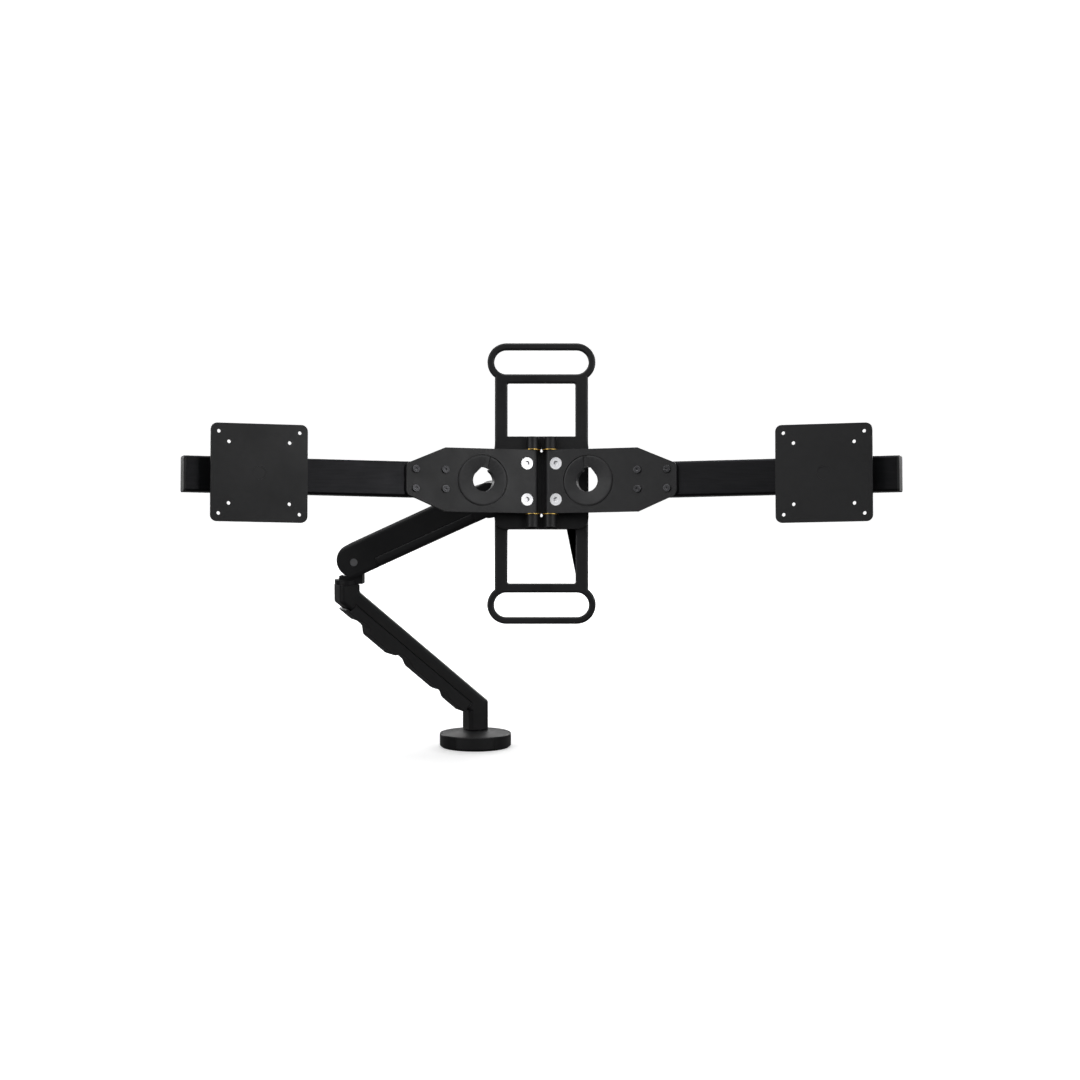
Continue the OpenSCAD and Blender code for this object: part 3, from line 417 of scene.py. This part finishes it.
def hand_over(piece, node):
    """The piece takes the node's place in the picture, on the node's own body."""
    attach(piece, BODY_OF[node])
    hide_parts(node)
    return piece


def finished_copy(node, radius, steps=3):
    """A copy of a CAD node with rounded and rubbed edges."""
    piece = merged_copy(node)
    apply_bevel(piece, radius * MM, steps, worn=True)
    smooth(piece)
    return hand_over(piece, node)


# radius of the rounded edges in millimetres
EDGES = {
    "desk_pad": 0.4, "base_casting": 0.4, "base_cover": 0.5, "badge_panel": 0.35,
    "clamp_plate": 1.2, "clamp_knob": 1.2,
    "cable_cover": 1.0,
    "elbow_knuckle": 1.0, "arm_shell": 1.2, "arm_cover": 1.0, "spring_rod": 0.4, "parallel_link": 0.4,
    "head_knuckle": 1.2, "tilt_yoke": 1.2, "pan_cap": 0.4, "tilt_pin": 0.5,
    "tilt_bracket": 1.0, "hub_plate": 0.9, "bracket_screws": 0.4,
    "hinge_washers": 0.2,
}
EDGES_PER_SIDE = {
    "wing_plate": 0.6, "hinge_clamp": 0.6, "beam": 0.5, "beam_screws": 0.3,
    "beam_cap": 0.8, "grommet": 0.4, "carriage": 1.0, "carriage_knob": 1.0, "vesa_tilt_pin": 0.4,
    "vesa_block": 0.6, "vesa_plate": 0.6,
}
for side in ("left", "right"):
    EDGES.update({f"{node}_{side}": radius for node, radius in EDGES_PER_SIDE.items()})

pieces = {node: finished_copy(node, radius) for node, radius in EDGES.items()}
print("finished copies", len(pieces))

# %% [markdown]
# ## Places of the tool bar and the wings
#
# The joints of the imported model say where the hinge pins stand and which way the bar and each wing
# face. A matrix from those axes lets a piece be modelled upright at its own hinge pin and then be set
# down in place. Measuring each place again by hand would drift from the frame.

# %% Frames from the joints
JOINT = {joint["name"]: joint for joint in record["behaviour"]["joints"]}


def place_from(origin, across, up):
    """A place with x across, z up and y to the back."""
    back = up.cross(across).normalized()
    place = Matrix((across, back, up)).transposed().to_4x4()
    place.translation = origin
    return place


bar_up = Vector(JOINT["wing_left_fold"]["axis"])
hinge_pins_at = {side: Vector(JOINT[f"wing_{side}_fold"]["pos_m"]) for side in ("left", "right")}
bar_place = place_from((hinge_pins_at["left"] + hinge_pins_at["right"]) / 2, Vector((1, 0, 0)), bar_up)
wing_place = {}
for side, outboard in (("left", -1), ("right", 1)):
    across = Vector(JOINT[f"carriage_{side}_slide"]["axis"]) * outboard
    wing_place[side] = place_from(hinge_pins_at[side], across, bar_up)
print("bar at", tuple(round(c, 4) for c in bar_place.translation))

# %% [markdown]
# ## The tool bar
#
# The bar is a flat aluminium casting that the hands hold at its two ends, so its outline is rounded
# over by more than two millimetres, while its screw holes only have a small chamfer. One bevel for the
# whole piece would stop at the smallest hole. The long edges are picked by their place and rounded
# first, and the holes get their own narrow bevel after that.

# %% Tool bar
ROUND_R = 2.2 * MM
HOLE_CLEARANCE = 5 * MM
FLAT_WITHIN = 0.2 * MM
HOLES_AT = [(0, 0.041), (0, -0.041)] + [(x * 0.022, z * 0.022) for x in (-1, 1) for z in (-1, 1)]
to_bar = bar_place.inverted()


def long_edge(edge):
    """An edge of the outline, a slot or a window, on the front or the back face."""
    if len(edge.link_faces) != 2 or edge.calc_face_angle(0) < math.radians(40):
        return False
    ends = [to_bar @ corner.co for corner in edge.verts]
    flat = abs(ends[0].y - ends[1].y) < FLAT_WITHIN
    clear = all(math.hypot(e.x - x, e.z - z) > HOLE_CLEARANCE for e in ends for x, z in HOLES_AT)
    return flat and clear


bar = merged_copy("toolbar_frame")
edit(bar)
rounded = pick(bar, long_edge, "edges")
bpy.ops.mesh.bevel(offset=ROUND_R, segments=4, affect="EDGES", clamp_overlap=False, material=1)
leave_edit()
apply_bevel(bar, 0.35 * MM, 2, angle=50)
smooth(bar)
hand_over(bar, "toolbar_frame")
print("bar edges rounded", rounded, "faces", len(bar.data.polygons))

# %% [markdown]
# ## The lower link
#
# The link is one casting: a square post, a straight incline and a short sleeve, mitred at both bends.
# A pattern maker rounds the two mitres more than the other edges, because a sharp corner chills and
# tears in the mould. The mitre edges are found by their plane, which halves the angle of each bend.

# %% Lower link
BEND_Z = {"low": 55.6 * MM, "high": 210.2 * MM}
MITRE_R = 1.6 * MM
ON_PLANE_WITHIN = 0.05 * MM
OUTSIDE_FROM = 12 * MM
elbow_at = Vector(JOINT["elbow_swivel"]["pos_m"])
bends = [Vector((0, 0, BEND_Z["low"])), Vector((elbow_at.x, elbow_at.y, BEND_Z["high"]))]
incline = (bends[1] - bends[0]).normalized()
mitre_normal = (incline + Vector((0, 0, 1))).normalized()


def mitre_edge(edge):
    """An edge that lies in one of the two mitre planes, on the outside of the link."""
    if len(edge.link_faces) != 2 or edge.calc_face_angle(0) <= math.radians(8):
        return False
    for bend in bends:
        arms = [corner.co - bend for corner in edge.verts]
        on_plane = all(abs(arm.dot(mitre_normal)) < ON_PLANE_WITHIN for arm in arms)
        if on_plane and all(arm.length > OUTSIDE_FROM for arm in arms):
            return True
    return False


link = merged_copy("lower_link")
edit(link)
mitred = pick(link, mitre_edge, "edges")
bpy.ops.mesh.bevel(offset=MITRE_R, segments=4, affect="EDGES", clamp_overlap=False, material=1)
leave_edit()
apply_bevel(link, 0.5 * MM, 2, angle=35, worn=True)
smooth(link)
hand_over(link, "lower_link")
print("mitre edges rounded", mitred)

# %% [markdown]
# ## Hinge screws
#
# Each wing is tightened on its pin by two countersunk screws with a hexagon socket, plated bright. They
# are the only pale spots on the front, so they are modelled and not only coloured: a short cylinder is
# drawn in at the back to a cone, the shank is extruded, and the face is inset for the turned rim. The
# inner ring is moved on to a hexagon and pushed in, which gives a socket without a cut.

# %% One screw, copied to four places
HEAD_R, HEAD_H, SHANK_R, SHANK_H = 7.7 * MM, 3.6 * MM, 4 * MM, 8.8 * MM
SOCKET_APOTHEM, SOCKET_H = 2.5 * MM, 2.8 * MM
SCREW_X, SCREW_GAP, PLATE_FRONT = 9 * MM, 45.6 * MM, -7 * MM


def hexagon_reach(x, y):
    """How far the hexagon's side is from the middle in the direction of a point."""
    around = (math.degrees(math.atan2(y, x)) + 360) % 60 - 30
    return SOCKET_APOTHEM / math.cos(math.radians(around))


def countersunk_screw(name):
    """A screw that looks along +Z, with its face at height 0."""
    bpy.ops.object.select_all(action="DESELECT")
    bpy.ops.mesh.primitive_cylinder_add(
        vertices=48, radius=HEAD_R, depth=HEAD_H, location=(0, 0, -HEAD_H / 2)
    )
    screw = bpy.context.object
    screw.name = name
    settle(screw)
    edit(screw)
    pick(screw, lambda f: f.normal.z < -0.9)
    bpy.ops.transform.resize(value=(SHANK_R / HEAD_R, SHANK_R / HEAD_R, 1))
    bpy.ops.mesh.extrude_region_move(TRANSFORM_OT_translate={"value": (0, 0, -SHANK_H)})
    pick(screw, lambda f: f.normal.z > 0.9)
    bpy.ops.mesh.inset(thickness=0.5 * MM)
    bpy.ops.transform.translate(value=(0, 0, -0.12 * MM))
    bpy.ops.mesh.inset(thickness=HEAD_R - 0.5 * MM - SOCKET_APOTHEM * 1.28)
    bpy.ops.mesh.inset(thickness=0.1 * MM)
    shape = bmesh.from_edit_mesh(screw.data)
    for corner in {v for f in shape.faces if f.select for v in f.verts}:
        reach = hexagon_reach(corner.co.x, corner.co.y) / math.hypot(corner.co.x, corner.co.y)
        corner.co.x, corner.co.y = corner.co.x * reach, corner.co.y * reach
    bmesh.update_edit_mesh(screw.data)
    bpy.ops.mesh.extrude_region_move(TRANSFORM_OT_translate={"value": (0, 0, -SOCKET_H)})
    leave_edit()
    dress(screw, "bright_steel")
    apply_bevel(screw, 0.18 * MM, 2, angle=35, worn=True)
    return screw


def face_forward(side, x, y, z):
    """Turns what looks along +Z to look out of a wing's front, at a place on the wing."""
    return wing_place[side] @ Matrix.Translation((x, y, z)) @ Matrix.Rotation(math.radians(90), 4, "X")


for side, outboard in (("left", -1), ("right", 1)):
    node = f"hinge_screws_{side}"
    pair = []
    for level, end in (("upper", 1), ("lower", -1)):
        screw = countersunk_screw(f"{node}_{level}")
        place = face_forward(side, outboard * SCREW_X, PLATE_FRONT, end * SCREW_GAP / 2)
        settle(screw, place @ Matrix.Rotation(math.radians(11 + 23 * end), 4, "Z"))
        smooth(screw, 30)
        pair.append(screw)
    bpy.ops.object.select_all(action="DESELECT")
    for screw in pair:
        screw.select_set(True)
    bpy.context.view_layer.objects.active = pair[0]
    bpy.ops.object.join()
    pair[0].name = node + "_finished"
    hand_over(pair[0], node)
    print(node, "faces", len(pair[0].data.polygons))
